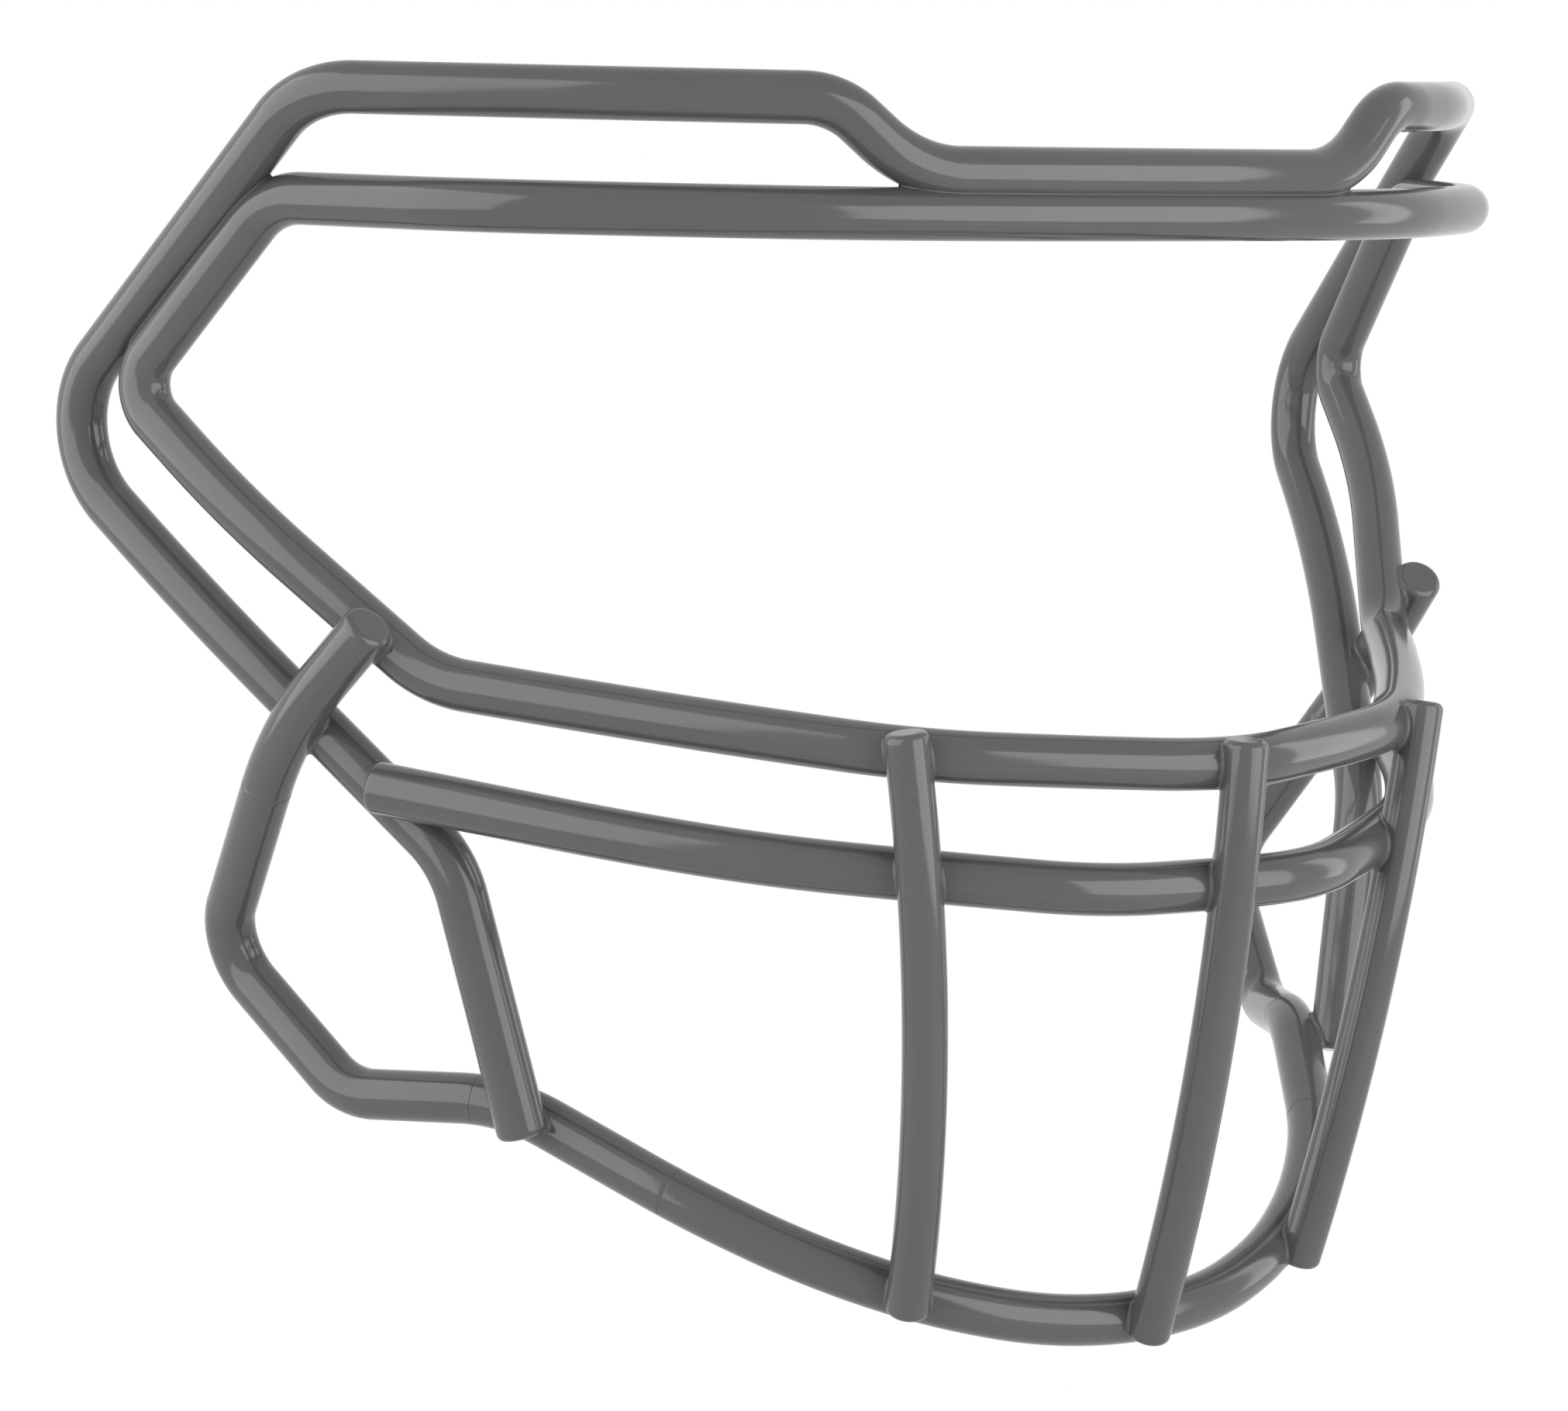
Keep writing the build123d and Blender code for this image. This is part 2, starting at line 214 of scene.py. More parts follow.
eyeFront = planOf(*eyeLoop["front"], *frontShares, *eyeLoop["frontPlace"])
eyeLow = planOf(*eyeLoop["front"], (1,), (1,), *eyeLoop["frontPlace"])[0]
eyeCentre = tilted(0, eyeLoop["frontPlace"][2], *eyeLoop["frontPlace"])
eyeSide = eyeBrow + [eyeCorner, eyeRear, Vector(eyeLoop["side"]), eyeLow] + eyeFront[::-1]
eyeBends = [None] * len(eyeBrow) + list(eyeLoop["bends"]) + [None] * len(eyeFront)
eyePath = Path(bendWire(
    [tilted(0, 0, browLevel, tilt)] + eyeSide + [eyeCentre] + mirrored(eyeSide),
    [None] + eyeBends + [None] + eyeBends[::-1], closed=True), closed=True)

outerFrame = {
    "dip": 36.7, "riseRun": 10.7, "rise": 9.6, "dipBends": (18.3, 11.6), "browBend": 14.8,
    "outs": (0.115, 0.429, 0.727), "backs": (0.121, 0.35, 0.679),
    "rear": (111.9, 108.0, -32.9), "side": (101.8, 83.0, -55.9), "drop": (80.7, 49.2, -90.6),
    "rearBend": 13.8, "dropBend": 15.5, "endRun": 0.6, "nestShare": 0.434, "nestLean": 11.0,
}
raised = dipLevel + outerFrame["rise"]
# the frame's side lies along the eye loop's side, turned a little round it
eyeLeg = (eyeRear - eyeCorner).normalized()
nestPoint = eyeCorner.lerp(eyeRear, outerFrame["nestShare"])
nestNormal = (Vector((0, 0, 1)) - eyeLeg * eyeLeg.z).normalized()
nestNormal.rotate(Matrix.Rotation(radians(outerFrame["nestLean"]), 3, eyeLeg))
nestPlace = nestPoint + nestNormal * (twoBars - pressed["side"])
frameRear = Vector(outerFrame["rear"])
slope = tan(radians(tilt))
frameLeg = nestPlace - frameRear
climb = raised + frameRear.y * slope - frameRear.z
frameCorner = frameRear + frameLeg * (climb / (frameLeg.z - frameLeg.y * slope))
riseOut = outerFrame["dip"] + outerFrame["riseRun"]
riseY = eyeLoop["corner"][1] * eyeLoop["browBacks"][1]
frameOuter = [
    tilted(riseOut + (frameCorner.x - riseOut) * out, riseY + (frameCorner.y - riseY) * rear,
           raised, tilt)
    for out, rear in zip(outerFrame["outs"], outerFrame["backs"])
]
frameRise = [
    tilted(outerFrame["dip"], riseY, dipLevel, tilt),
    tilted(riseOut, (riseY + frameOuter[0].y) / 2, raised, tilt),
]
frameSide, frameDrop = Vector(outerFrame["side"]), Vector(outerFrame["drop"])
sideCorners = [frameCorner, frameRear, frameSide, frameDrop]
sidePath = Path(bendWire(sideCorners, [None, outerFrame["rearBend"], None, None]))

jawRod = {
    "eyeShare": 0.832, "frameShare": 0.444, "topRun": 3.8, "footRun": 0.8, "footBend": 74.0,
    "rear": (91.4, 95.7, -105.9), "low": (82.7, 74.6, -125.6), "link": (70.3, 52.4, -124.8),
    "bends": (9.0, 10.9, 30.6), "chin": (55.2, 27.5), "chinPlace": (-155.1, 32.6, 1.6),
    "chinOuts": (0.277, 0.554, 0.795, 1.0), "chinBacks": (0.064, 0.279, 0.597, 0.992),
    # lengths of chin bar and links, and how far from the middle the line round a hook is
    "chinLength": 139.0, "linkLength": 31.0, "hookLine": 181.3, "linkSeat": 0.195,
}
eyeSeat = eyePath.seat(eyeRear.lerp(eyeLow, jawRod["eyeShare"]))
frameSeat = sidePath.seat(frameSide.lerp(frameDrop, jawRod["frameShare"]))
hookGaps = (twoBars - pressed["hookEye"], twoBars - pressed["hookFrame"])
hookPlaces = rested([eyeSeat, frameSeat], hookGaps)
hookRun = (hookPlaces[1] - hookPlaces[0]).normalized()
chinShares = (jawRod["chinOuts"], jawRod["chinBacks"])
chinSide = planOf(*jawRod["chin"], *chinShares, *jawRod["chinPlace"])
jawSide = [hookPlaces[0] - hookRun * jawRod["topRun"], hookPlaces[1] + hookRun * jawRod["footRun"]]
jawSide += [Vector(jawRod[k]) for k in ("rear", "low", "link")] + chinSide[::-1]
jawBends = [None, jawRod["footBend"]] + list(jawRod["bends"]) + [None] * len(chinSide)
chinCentre = tilted(0, jawRod["chinPlace"][2], *jawRod["chinPlace"])
jawPath = Path(bendWire(
    jawSide + [chinCentre] + mirrored(jawSide), jawBends + [None] + jawBends[::-1]))

# the frame's ends run past the links that they rest on
linkSeat = jawPath.seat(Vector(jawRod["link"]).lerp(chinSide[-1], jawRod["linkSeat"]))
dropPlace = rested([(frameDrop, None), linkSeat], (0, twoBars - pressed["drop"]))[1]
dropEnd = dropPlace + (dropPlace - frameDrop).normalized() * outerFrame["endRun"]
frameStart = tilted(eyeBrow[0].x, eyeBrow[0].y, dipLevel, tilt)
frameHalf = [frameStart] + frameRise + frameOuter + sideCorners + [dropEnd]
frameBends = [None, *outerFrame["dipBends"], None, None, None, outerFrame["browBend"]]
frameBends += [outerFrame["rearBend"], None, outerFrame["dropBend"], None]
frameCorners = mirrored(frameHalf) + [tilted(0, 0, dipLevel, tilt)] + frameHalf
framePath = Path(bendWire(frameCorners, frameBends[::-1] + [None] + frameBends))

lowerBar = {
    "size": (69.8, 39.9), "place": (-92.9, 10.1, -15.8), "endShare": 0.704, "setback": 1.9,
    "outs": (0.265, 0.545, 0.795, 1.0), "backs": (0.024, 0.324, 0.62, 1.022),
}
lowerSide = planOf(*lowerBar["size"], lowerBar["outs"], lowerBar["backs"], *lowerBar["place"])
lowerSeat = sidePath.seat(frameSide.lerp(frameDrop, lowerBar["endShare"]))
lowerContact = rested([(lowerSide[-1], None), lowerSeat], (0, twoBars - pressed["lower"]))[1]
lowerRun = (lowerContact - lowerSide[-1]).normalized()
lowerHalf = lowerSide + [lowerContact - lowerRun * lowerBar["setback"]]
lowerCentre = tilted(0, lowerBar["place"][2], *lowerBar["place"])
lowerCorners = mirrored(lowerHalf) + [lowerCentre] + lowerHalf
lowerPath = Path(bendWire(lowerCorners, [None] * len(lowerCorners)))

# how far out the top and the foot are, then how far the bar runs past its top and foot seats
upright = {"side": (41.6, 32.1, 3.8, 1.25), "centre": (0, 0, 4.1, 1.25), "arcSteps": 48}


def arcThrough(a, b, c):
    # stations of the circle through three places
    ab, ac = b - a, c - a
    normal = ab.cross(ac)
    lean = normal.cross(ab) * ac.length_squared + ac.cross(normal) * ab.length_squared
    centre = a + lean / (2 * normal.length_squared)
    spin = Matrix.Rotation((a - centre).angle(c - centre) / upright["arcSteps"], 3, normal)
    stations = [a.copy()]
    for _ in range(upright["arcSteps"]):
        ray = stations[-1] - centre
        ray.rotate(spin)
        stations.append(centre + ray)
    return stations


def bowUpright(topX, footX, topRun, footRun):
    # an upright's path, the three seats on the bars behind it and its own places there
    top = eyePath.atWidth(topX, eyeCentre, eyeLow)
    foot = jawPath.atWidth(footX, chinCentre, chinSide[-1])
    share = (top[0].z - lowerCentre.z) / (top[0].z - foot[0].z)
    middle = lowerPath.atWidth(topX + (footX - topX) * share, lowerCentre, lowerSide[-1])
    seats = [top, middle, foot]
    places = rested(seats, [wire["bar"] + wire["upright"] - pressed["upright"]] * len(seats))
    bow = arcThrough(*places)
    head = bow[0] + (bow[0] - bow[1]).normalized() * topRun
    tail = bow[-1] + (bow[-1] - bow[-2]).normalized() * footRun
    return Path([head] + bow + [tail]), seats, places


sideBow, sideSeats, sidePlaces = bowUpright(*upright["side"])
centreBow, centreSeats, centrePlaces = bowUpright(*upright["centre"])
print("wire paths ready, eye loop", round(float(eyePath.marks[-1]), 1), "mm")


# the coat: one shader group gives its colour drift, its gloss and its fine orange peel
coat = {
    "tint": (0.084, 0.084, 0.085), "worn": (0.078, 0.078, 0.079), "ior": 1.5, "specular": 0.42,
    "gloss": 0.13, "weldGloss": 0.25, "glossDrift": 0.035,
    "driftSize": 55, "driftRange": (0.3, 0.7),
    "peelSize": 520, "grainSize": 2600, "grainShare": 0.12, "peelDepth": 0.000003,
}
coatInputs = {
    "Tint": (*coat["tint"], 1), "Worn": (*coat["worn"], 1), "Gloss": coat["gloss"],
    "Gloss Drift": coat["glossDrift"], "Drift Size": coat["driftSize"],
    "Peel Size": coat["peelSize"], "Grain Size": coat["grainSize"],
}


def addNode(tree, kind, **values):
    # a node with its settings and its inputs given by name
    node = tree.nodes.new(kind)
    for key, value in values.items():
        if hasattr(node, key):
            setattr(node, key, value)
        else:
            node.inputs[key.replace("_", " ")].default_value = value
    return node


def buildCoatGroup():
    group = bpy.data.node_groups.new("powderCoat", "ShaderNodeTree")
    for name, value in coatInputs.items():
        kind = "NodeSocketColor" if isinstance(value, tuple) else "NodeSocketFloat"
        group.interface.new_socket(name=name, in_out="INPUT", socket_type=kind)
    for name, kind in (("Color", "Color"), ("Roughness", "Float"), ("Height", "Float")):
        group.interface.new_socket(name=name, in_out="OUTPUT", socket_type="NodeSocket" + kind)
    link = group.links.new
    given = group.nodes.new("NodeGroupInput")
    result = group.nodes.new("NodeGroupOutput")
    place = group.nodes.new("ShaderNodeTexCoord")
    drift = addNode(group, "ShaderNodeTexNoise", Detail=4.0, Roughness=0.55)
    peel = addNode(group, "ShaderNodeTexNoise", Detail=1.5, Roughness=0.45)
    grain = addNode(group, "ShaderNodeTexNoise", Detail=2.0, Roughness=0.6)
    for texture, size in ((drift, "Drift Size"), (peel, "Peel Size"), (grain, "Grain Size")):
        link(place.outputs["Object"], texture.inputs["Vector"])
        link(given.outputs[size], texture.inputs["Scale"])
    # colour wanders between the tint and a slightly worn tone
    low, high = coat["driftRange"]
    spread = addNode(group, "ShaderNodeMapRange", From_Min=low, From_Max=high)
    link(drift.outputs["Fac"], spread.inputs["Value"])
    blend = addNode(group, "ShaderNodeMix", data_type="RGBA")
    link(spread.outputs["Result"], blend.inputs["Factor"])
    link(given.outputs["Tint"], blend.inputs[6])        # the mix's colour A
    link(given.outputs["Worn"], blend.inputs[7])        # and colour B
    link(blend.outputs[2], result.inputs["Color"])
    # gloss wanders with the same drift and with the grain
    both = addNode(group, "ShaderNodeMath", operation="ADD")
    link(drift.outputs["Fac"], both.inputs[0])
    link(grain.outputs["Fac"], both.inputs[1])
    centred = addNode(group, "ShaderNodeMath", operation="SUBTRACT")
    link(both.outputs[0], centred.inputs[0])
    centred.inputs[1].default_value = 1.0
    swing = addNode(group, "ShaderNodeMath", operation="MULTIPLY_ADD")
    link(centred.outputs[0], swing.inputs[0])
    link(given.outputs["Gloss Drift"], swing.inputs[1])
    link(given.outputs["Gloss"], swing.inputs[2])
    link(swing.outputs[0], result.inputs["Roughness"])
    # orange peel with a little grain on it
    fine = addNode(group, "ShaderNodeMath", operation="MULTIPLY_ADD")
    link(grain.outputs["Fac"], fine.inputs[0])
    fine.inputs[1].default_value = coat["grainShare"]
    link(peel.outputs["Fac"], fine.inputs[2])
    link(fine.outputs[0], result.inputs["Height"])
    return group


coatGroup = buildCoatGroup()


def coatMaterial(name, rougher=0.0):
    material = bpy.data.materials.new(name)
    material.use_nodes = True
    tree = material.node_tree
    shader = tree.nodes["Principled BSDF"]
    shader.inputs["IOR"].default_value = coat["ior"]
    shader.inputs["Specular IOR Level"].default_value = coat["specular"]
    skin = addNode(tree, "ShaderNodeGroup", node_tree=coatGroup)
    for key, value in coatInputs.items():
        skin.inputs[key].default_value = value
    skin.inputs["Gloss"].default_value = coat["gloss"] + rougher
    bump = addNode(tree, "ShaderNodeBump", Strength=1.0, Distance=coat["peelDepth"])
    tree.links.new(skin.outputs["Height"], bump.inputs["Height"])
    tree.links.new(bump.outputs["Normal"], shader.inputs["Normal"])
    tree.links.new(skin.outputs["Color"], shader.inputs["Base Color"])
    tree.links.new(skin.outputs["Roughness"], shader.inputs["Roughness"])
    return material


barCoat = coatMaterial("barCoat")
weldCoat = coatMaterial("weldCoat", coat["weldGloss"])
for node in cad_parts:
    carried = bpy.data.objects.get(node)
    if carried is not None:
        for slot in carried.material_slots:
            slot.material = barCoat
print("coat ready")


def sweptMesh(name, rows, flip):
    # rows of places in millimetres make a skin, closed where its edges meet
    bm = bmesh.new()
    bmesh.ops.create_grid(bm, x_segments=len(rows[0]) - 1, y_segments=len(rows) - 1, size=1)
    for vert, place in zip(bm.verts, (place for row in rows for place in row)):
        vert.co = place * mm
    if flip:
        bmesh.ops.scale(bm, vec=(-1, 1, 1), verts=bm.verts)
    bmesh.ops.remove_doubles(bm, verts=bm.verts, dist=joined)
    bmesh.ops.recalc_face_normals(bm, faces=bm.faces)
    mesh = bpy.data.meshes.new(name)
    bm.to_mesh(mesh)
    bm.free()
    return mesh


def settle(name, mesh, material, slot, *nodes):
    # a finished piece: smooth, at the origin, standing for its CAD nodes
    for face in mesh.polygons:
        face.use_smooth = True
    mesh.materials.clear()
    mesh.materials.append(material)
    piece = bpy.data.objects.new(name, mesh)
    scene.collection.objects.link(piece)
    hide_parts(*nodes)
    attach(piece, "root")
    return piece


rod = {
    "sides": 64, "endSteps": 7, "seamSteps": 2, "seam": 0.07, "flatShare": 0.93,
    # no station of the path is kept this close to an end or to a line round the bar
    "endGap": 0.02, "lineGap": 0.2,
    # a thin line turned round a bar: steps along it and how deep it is there
    "line": ((-0.14, 0.0), (-0.07, 0.035), (0.0, 0.055), (0.07, 0.035), (0.14, 0.0)),
    "firstSide": (0.3, 0.2, 1),
}


def turnedAlong(places, closed):
    # cross directions at each place, carried along the bar without twist
    last = len(places) - 1
    ways = []
    for i in range(last + 1):
        before = places[i - 1] if i or closed else places[i]
        after = places[(i + 1) % (last + 1)] if i < last or closed else places[i]
        ways.append((after - before).normalized())
    side = ways[0].cross(Vector(rod["firstSide"])).normalized()
    sides = [side]
    for i in range(1, last + 1):
        side = (ways[i - 1].rotation_difference(ways[i]) @ side).normalized()
        sides.append(side)
    if closed:
        # what a closed bar is out by at its end is spread over its length
        final = ways[last].rotation_difference(ways[0]) @ side
        slip = final.angle(sides[0]) * (1 if final.cross(sides[0]).dot(ways[0]) > 0 else -1)
        sides = [Matrix.Rotation(slip * i / (last + 1), 3, ways[i]) @ carried
                 for i, carried in enumerate(sides)]
    return [(side, way.cross(side), way) for side, way in zip(sides, ways)]


def closedRings(path, radius):
    places = path.stations
    rings = [(place, radius, cross) for place, cross in zip(places, turnedAlong(places, True))]
    return rings + rings[:1]


def cutRings(place, cross, way, cut, radius):
    # the rounding of a cut end, its flat face and the face's middle
    steps = rod["endSteps"] if cut > rod["seam"] else rod["seamSteps"]
    rings = []
    for k in range(1, steps + 1):
        turn = pi / 2 * k / steps
        ahead = place + cross[2] * way * cut * sin(turn)
        rings.append((ahead, radius - cut * (1 - cos(turn)), cross))
    tip = place + cross[2] * way * cut
    return rings + [(tip, (radius - cut) * rod["flatShare"], cross), (tip, 0.0, cross)]


def openRings(path, radius, start, end, cuts, lineAt):
    first, last = start + cuts[0], end - cuts[1]
    marked = [(first, path.at(first)[0])]
    for mark, place in zip(path.marks, path.line):
        if first + rod["endGap"] < mark < last - rod["endGap"]:
            marked.append((mark, Vector(place)))
    marked.append((last, path.at(last)[0]))
    depths = {}
    if lineAt is not None:
        marked = [m for m in marked if abs(m[0] - lineAt) > rod["lineGap"]]
        marked += [(lineAt + along, path.at(lineAt + along)[0]) for along, _ in rod["line"]]
        depths = {lineAt + along: depth for along, depth in rod["line"]}
        marked.sort(key=lambda m: m[0])
    frames = turnedAlong([place for _, place in marked], False)
    rings = [(place, radius - depths.get(mark, 0.0), cross)
             for (mark, place), cross in zip(marked, frames)]
    head = cutRings(rings[0][0], rings[0][2], -1, cuts[0], radius)
    tail = cutRings(rings[-1][0], rings[-1][2], 1, cuts[1], radius)
    return head[::-1] + rings + tail


def drawRod(name, node, path, radius, start=0.0, end=None, cuts=None, flip=False, lineAt=None):
    # a round bar along its path, its cut ends rounded over by the coat
    if path.closed:
        rings = closedRings(path, radius)
    else:
        end = end or float(path.marks[-1])
        cuts = cuts or (wire["endRound"], wire["endRound"])
        rings = openRings(path, radius, start, end, cuts, lineAt)
    turns = [2 * pi * (j % rod["sides"]) / rod["sides"] for j in range(rod["sides"] + 1)]
    rows = [[place + (side * cos(turn) + over * sin(turn)) * size for turn in turns]
            for place, size, (side, over, _) in rings]
    return settle(name, sweptMesh(name, rows, flip), barCoat, "bar_coat", node)


bar, seam, endRound = wire["bar"], rod["seam"], wire["endRound"]
jawMiddle = jawPath.nearest(chinCentre)
seamOne = jawMiddle + jawRod["chinLength"] / 2
seamTwo = seamOne + jawRod["linkLength"]
# the same seams on the side where the path starts
nearOne, nearTwo = jawMiddle * 2 - seamOne, jawMiddle * 2 - seamTwo
hookLine = jawMiddle - jawRod["hookLine"]
drawRod("eyeLoop", "eye_loop_bar", eyePath, bar)
drawRod("outerFrame", "outer_frame_bar", framePath, bar)
drawRod("lowerFront", "lower_front_bar", lowerPath, bar)
drawRod("chinBar", "chin_bar", jawPath, bar, nearOne, seamOne, (seam, seam))
drawRod("centreUpright", "center_upright", centreBow, wire["upright"])
for label, flip in (("Left", False), ("Right", True)):
    hook, link, sideUpright = [
        piece + "_" + label.lower() for piece in ("jaw_hook", "jaw_link", "side_upright")]
    drawRod("jawHook" + label, hook, jawPath, bar, 0.0, nearTwo, (endRound, seam), flip, hookLine)
    drawRod("jawLink" + label, link, jawPath, bar, nearTwo, nearOne, (seam, seam), flip)
    drawRod("sideUpright" + label, sideUpright, sideBow, wire["upright"], flip=flip)
print("bars drawn")


# radii of the balls that roll round the welds, and how a crease is cut from their track
crease = {
    "upright": 0.4, "cross": 0.5, "brow": 0.14, "side": 0.16,
    "stride": 0.22, "steps": 10, "under": 0.05, "past": 0.35, "deep": 0.9,
    "reach": 110, "startAside": 3.0,
}
# past its tips a wire's line is drawn on, and this near to a tip its rounding counts
tipFeel = {"drawnOn": 20, "reach": 12}
# tries and limits of a ball that finds its place, then steps round until it is home
rolling = {
    "tries": 12, "parallel": 1e-5, "settled": 1e-6,
    "mostSteps": 3000, "leastSteps": 8, "turning": 1e-4, "home": 0.75,
}


class Skin:
    # how far a place is from a round bar's coat, and which way is straight out of it
    def __init__(self, path, radius):
        self.radius = radius
        self.line = path.line
        self.tips = []
        if not path.closed:
            ends = [(self.line[0], self.line[1]), (self.line[-1], self.line[-2])]
            self.tips = [(tip, (tip - inner) / np.linalg.norm(tip - inner)) for tip, inner in ends]
            first, last = [tip + way * tipFeel["drawnOn"] for tip, way in self.tips]
            self.line = np.vstack([first, self.line, last])

    def near(self, place, reach):
        # keeps only the runs within reach of a weld
        middle = (self.line[:-1] + self.line[1:]) / 2
        runs = self.line[1:] - self.line[:-1]
        away = np.linalg.norm(middle - place, axis=1) - np.linalg.norm(runs, axis=1) / 2
        self.starts, self.runs = self.line[:-1][away < reach], runs[away < reach]
        self.squares = (self.runs ** 2).sum(1) + tiny

    def off(self, place):
        share = (((place - self.starts) * self.runs).sum(1) / self.squares).clip(0, 1)
        rays = place - self.starts - share[:, None] * self.runs
        squares = (rays ** 2).sum(1)
        nearest = int(squares.argmin())
        distance = sqrt(squares[nearest])
        out = rays[nearest] / distance
        for tip, way in self.tips:
            beyond = float((place - tip) @ way) + endRound
            if beyond > 0 and np.linalg.norm(place - tip) < tipFeel["reach"]:
                aside = distance - self.radius + endRound
                if aside <= 0:
                    return beyond - endRound, way
                size = sqrt(aside * aside + beyond * beyond)
                return size - endRound, (out * aside + way * beyond) / size
        return distance - self.radius, out


def touching(one, two, place, ball):
    # moves a ball until it touches both bars
    for _ in range(rolling["tries"]):
        (gapOne, outOne), (gapTwo, outTwo) = one.off(place), two.off(place)
        lean = float(outOne @ outTwo)
        a, b, spare = ball - gapOne, ball - gapTwo, 1 - lean * lean
        if spare < rolling["parallel"] or abs(a) + abs(b) < rolling["settled"]:
            break
        place = place + ((a - lean * b) * outOne + (b - lean * a) * outTwo) / spare
    return place, outOne, outTwo


def rollRound(one, two, start, ball):
    # the places of a small ball that rolls round a weld and touches both bars
    stride = crease["stride"]
    first = touching(one, two, start, ball)
    heading = np.cross(first[1], first[2])
    heading /= np.linalg.norm(heading)
    track = [first]
    while len(track) < rolling["mostSteps"]:
        step = touching(one, two, track[-1][0] + heading * stride, ball)
        turned = np.cross(step[1], step[2])
        size = np.linalg.norm(turned)
        if size > rolling["turning"]:
            heading = turned / size * (1 if turned @ heading > 0 else -1)
        away = np.linalg.norm(step[0] - first[0])
        if len(track) > rolling["leastSteps"] and away < stride * rolling["home"]:
            return track
        track.append(step)
    print("open crease near", [round(float(c), 1) for c in start])
    return track


def creaseSection(centre, outOne, outTwo, ball):
    # the hollow of the coat between two bars, closed inside the metal
    touchOne, touchTwo = centre - outOne * ball, centre - outTwo * ball
    spread = np.arccos(np.clip(outOne @ outTwo, -0.9999, 0.9999))
    awayOne = touchOne - touchTwo - outOne * ((touchOne - touchTwo) @ outOne)
    awayTwo = touchTwo - touchOne - outTwo * ((touchTwo - touchOne) @ outTwo)
    awayOne /= np.linalg.norm(awayOne)
    awayTwo /= np.linalg.norm(awayTwo)
    past, under, deep = crease["past"], crease["under"], crease["deep"]
    edgeOne, edgeTwo = touchOne + awayOne * past, touchTwo + awayTwo * past
    section = [edgeOne - outOne * deep, edgeOne - outOne * under]
    for k in range(crease["steps"] + 1):
        turn = spread * k / crease["steps"]
        ray = (sin(spread - turn) * outOne + sin(turn) * outTwo) / sin(spread)
        section.append(centre - ray * ball)
    section += [edgeTwo - outTwo * under, edgeTwo - outTwo * deep]
    return [Vector(corner) for corner in section + section[:1]]


def drawCrease(name, nodes, one, two, seat, place, ball, flip=False):
    # the crease between the wire at a seat and the wire that rests on it at a place
    for skin in (one, two):
        skin.near(np.array(tuple(seat[0])), crease["reach"])
    normal = (place - seat[0]).normalized()
    contact = seat[0] + normal * one.radius
    start = contact + seat[1].cross(normal).normalized() * crease["startAside"]
    track = rollRound(one, two, np.array(tuple(start)), ball)
    rows = [creaseSection(*stop, ball) for stop in track + track[:1]]
    return settle(name, sweptMesh(name, rows, flip), weldCoat, "weld_coat", *nodes)


eyeSkin, frameSkin = Skin(eyePath, bar), Skin(framePath, bar)
jawSkin, lowerSkin = Skin(jawPath, bar), Skin(lowerPath, bar)
centreSkin, sideSkin = Skin(centreBow, wire["upright"]), Skin(sideBow, wire["upright"])
behind = (("eye", eyeSkin), ("lower", lowerSkin), ("chin", jawSkin))
for (label, below), seat, place in zip(behind, centreSeats, centrePlaces):
    drawCrease(label + "CreaseCentre", [f"center_{label}_weld"], below, centreSkin,
               seat, place, crease["upright"])
# each weld on both sides: the wire below, the wire on it, their places and the ball's size
welds = [
    ("sideEye", "side_eye_weld", eyeSkin, sideSkin, sideSeats[0], sidePlaces[0], "upright"),
    ("sideLower", "side_lower_weld", lowerSkin, sideSkin, sideSeats[1], sidePlaces[1], "upright"),
    ("sideChin", "side_chin_weld", jawSkin, sideSkin, sideSeats[2], sidePlaces[2], "upright"),
    ("hookEye", "hook_eye_weld", eyeSkin, jawSkin, eyeSeat, hookPlaces[0], "cross"),
    ("hookFrame", "hook_frame_weld", frameSkin, jawSkin, frameSeat, hookPlaces[1], "cross"),
    ("drop", "drop_weld", jawSkin, frameSkin, linkSeat, dropPlace, "cross"),
    ("lowerEnd", "lower_bar_weld", frameSkin, lowerSkin, lowerSeat, lowerContact, "cross"),
    ("side", "side_weld", eyeSkin, frameSkin, (nestPoint, eyeLeg), nestPlace, "side"),
]
for label, node, *between, kind in welds:
    drawCrease(label + "CreaseLeft", [node + "_left"], *between, crease[kind])
    drawCrease(label + "CreaseRight", [node + "_right"], *between, crease[kind], flip=True)
browSeat = (tilted(0, 0, browLevel, tilt), Vector((1, 0, 0)))
drawCrease("browCrease", ["brow_weld_left", "brow_weld_right"], eyeSkin, frameSkin, browSeat,
           tilted(0, 0, dipLevel, tilt), crease["brow"])
print("weld creases drawn")


# pale floor, white backdrop, soft studio lamps
studio = {
    "floorLevel": -0.30, "floorSize": 6.0, "paper": (0.80, 0.80, 0.80), "paperRoughness": 0.9,
    "paperGlow": 0.26, "paperFades": (0.32, 0.62), "world": 0.3, "aim": (0.0, 0.03, -0.07),
    # azimuth and height angle from the object, distance, width, height, brightness
    "lamps": {
        "front": (-70, 8, 0.60, 0.62, 0.60, 3.1),
        "left": (-192, 18, 0.85, 1.33, 1.23, 2.4),
        "side": (-14, 5, 0.80, 0.18, 0.90, 2.0),
    },
}


def seenDirectly(tree):
    # 1 where the camera sees a place, straight or in a gloss, else 0
    path = tree.nodes.new("ShaderNodeLightPath")
    total = path.outputs["Is Camera Ray"]
    for name in ("Is Glossy Ray", "Is Transmission Ray"):
        either = addNode(tree, "ShaderNodeMath", operation="MAXIMUM")
        tree.links.new(total, either.inputs[0])
        tree.links.new(path.outputs[name], either.inputs[1])
        total = either.outputs[0]
    return total


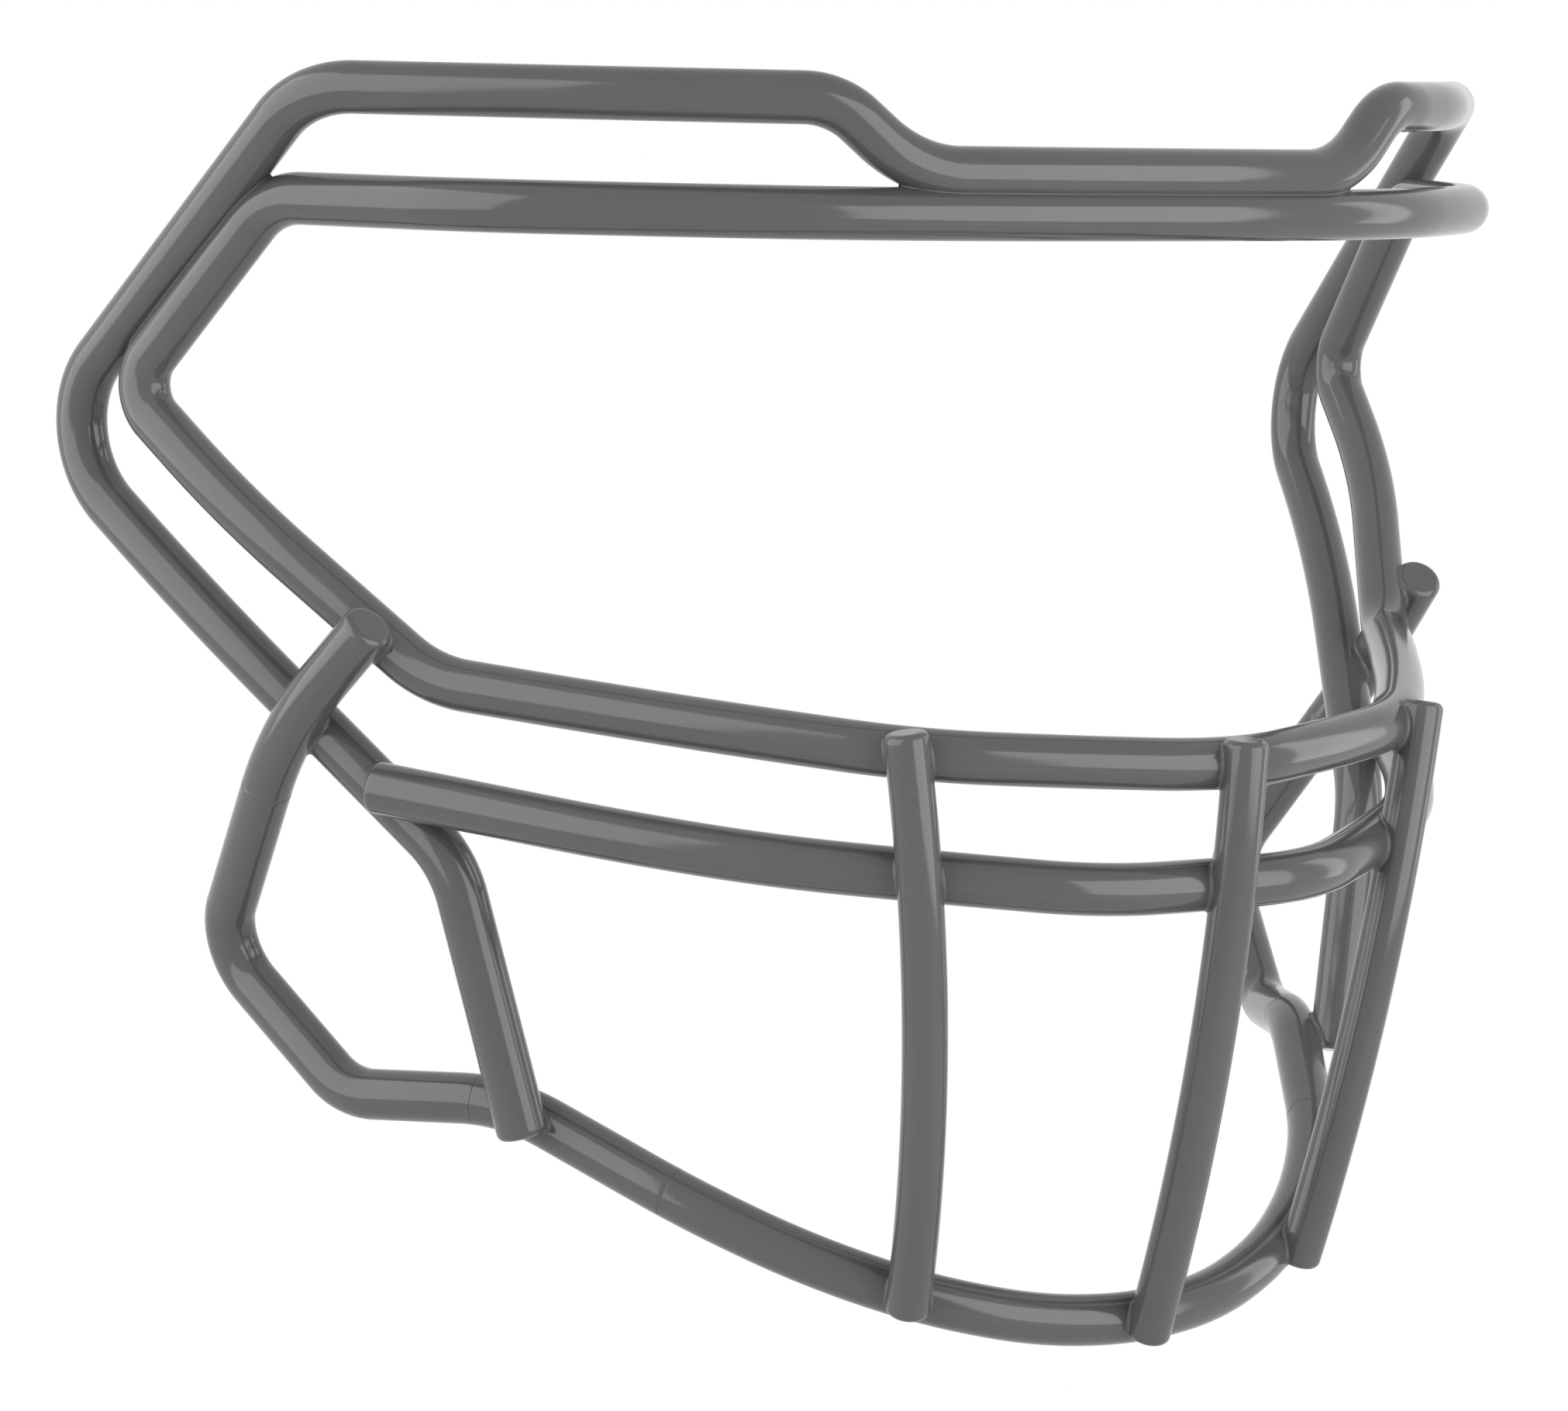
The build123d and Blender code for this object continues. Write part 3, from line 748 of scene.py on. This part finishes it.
world = bpy.data.worlds.new("studio")
scene.world = world
world.use_nodes = True
sky = world.node_tree
glow = sky.nodes["Background"]
glow.inputs["Strength"].default_value = studio["world"]
glow.inputs["Color"].default_value = (1, 1, 1, 1)
white = addNode(sky, "ShaderNodeBackground", Color=(1, 1, 1, 1))
skyMix = sky.nodes.new("ShaderNodeMixShader")
sky.links.new(seenDirectly(sky), skyMix.inputs[0])
sky.links.new(glow.outputs[0], skyMix.inputs[1])
sky.links.new(white.outputs[0], skyMix.inputs[2])
sky.links.new(skyMix.outputs[0], sky.nodes["World Output"].inputs["Surface"])

bm = bmesh.new()
bmesh.ops.create_grid(bm, x_segments=1, y_segments=1, size=studio["floorSize"])
bmesh.ops.translate(bm, vec=(0, 0, studio["floorLevel"]), verts=bm.verts)
floorMesh = bpy.data.meshes.new("floor")
bm.to_mesh(floorMesh)
bm.free()
paper = bpy.data.materials.new("paper")
paper.use_nodes = True
tree = paper.node_tree
matte = tree.nodes["Principled BSDF"]
matte.inputs["Base Color"].default_value = (*studio["paper"], 1)
matte.inputs["Roughness"].default_value = studio["paperRoughness"]
matte.inputs["Specular IOR Level"].default_value = 0.0
seen = seenDirectly(tree)
# under the object the paper takes its shadow, further out it runs into the white of the backdrop
place = tree.nodes.new("ShaderNodeTexCoord")
flat = addNode(tree, "ShaderNodeVectorMath", operation="MULTIPLY")
flat.inputs[1].default_value = (1, 1, 0)
tree.links.new(place.outputs["Object"], flat.inputs[0])
away = addNode(tree, "ShaderNodeVectorMath", operation="LENGTH")
tree.links.new(flat.outputs[0], away.inputs[0])
fadeFrom, fadeTo = studio["paperFades"]
fade = addNode(tree, "ShaderNodeMapRange", interpolation_type="SMOOTHSTEP",
               From_Min=fadeFrom, From_Max=fadeTo)
tree.links.new(away.outputs["Value"], fade.inputs["Value"])
outer = addNode(tree, "ShaderNodeMath", operation="MULTIPLY")
tree.links.new(fade.outputs[0], outer.inputs[0])
tree.links.new(seen, outer.inputs[1])
lift = addNode(tree, "ShaderNodeMath", operation="MULTIPLY")
lift.inputs[1].default_value = studio["paperGlow"]
tree.links.new(seen, lift.inputs[0])
nearGlow, farGlow = tree.nodes.new("ShaderNodeEmission"), tree.nodes.new("ShaderNodeEmission")
tree.links.new(lift.outputs[0], nearGlow.inputs["Strength"])
nearPaper = tree.nodes.new("ShaderNodeAddShader")
paperMix = tree.nodes.new("ShaderNodeMixShader")
tree.links.new(matte.outputs[0], nearPaper.inputs[0])
tree.links.new(nearGlow.outputs[0], nearPaper.inputs[1])
tree.links.new(outer.outputs[0], paperMix.inputs[0])
tree.links.new(nearPaper.outputs[0], paperMix.inputs[1])
tree.links.new(farGlow.outputs[0], paperMix.inputs[2])
tree.links.new(paperMix.outputs[0], tree.nodes["Material Output"].inputs["Surface"])
floorMesh.materials.append(paper)
floor = bpy.data.objects.new("floor", floorMesh)
scene.collection.objects.link(floor)

aim = Vector(studio["aim"])
for name, (azimuth, height, distance, width, tall, bright) in studio["lamps"].items():
    lamp = bpy.data.lights.new(name + "Lamp", "AREA")
    lamp.shape = "RECTANGLE"
    lamp.size, lamp.size_y = width, tall
    lamp.energy = bright * pi * width * tall
    holder = bpy.data.objects.new(name + "Lamp", lamp)
    turn, rise = radians(azimuth), radians(height)
    ray = Vector((cos(turn) * cos(rise), sin(turn) * cos(rise), sin(rise)))
    holder.location = aim + ray * distance
    holder.rotation_euler = ray.to_track_quat("Z", "Y").to_euler()
    holder.visible_camera = False
    scene.collection.objects.link(holder)
print("studio ready")

scene.view_settings.view_transform = "Standard"
print("scene ready")
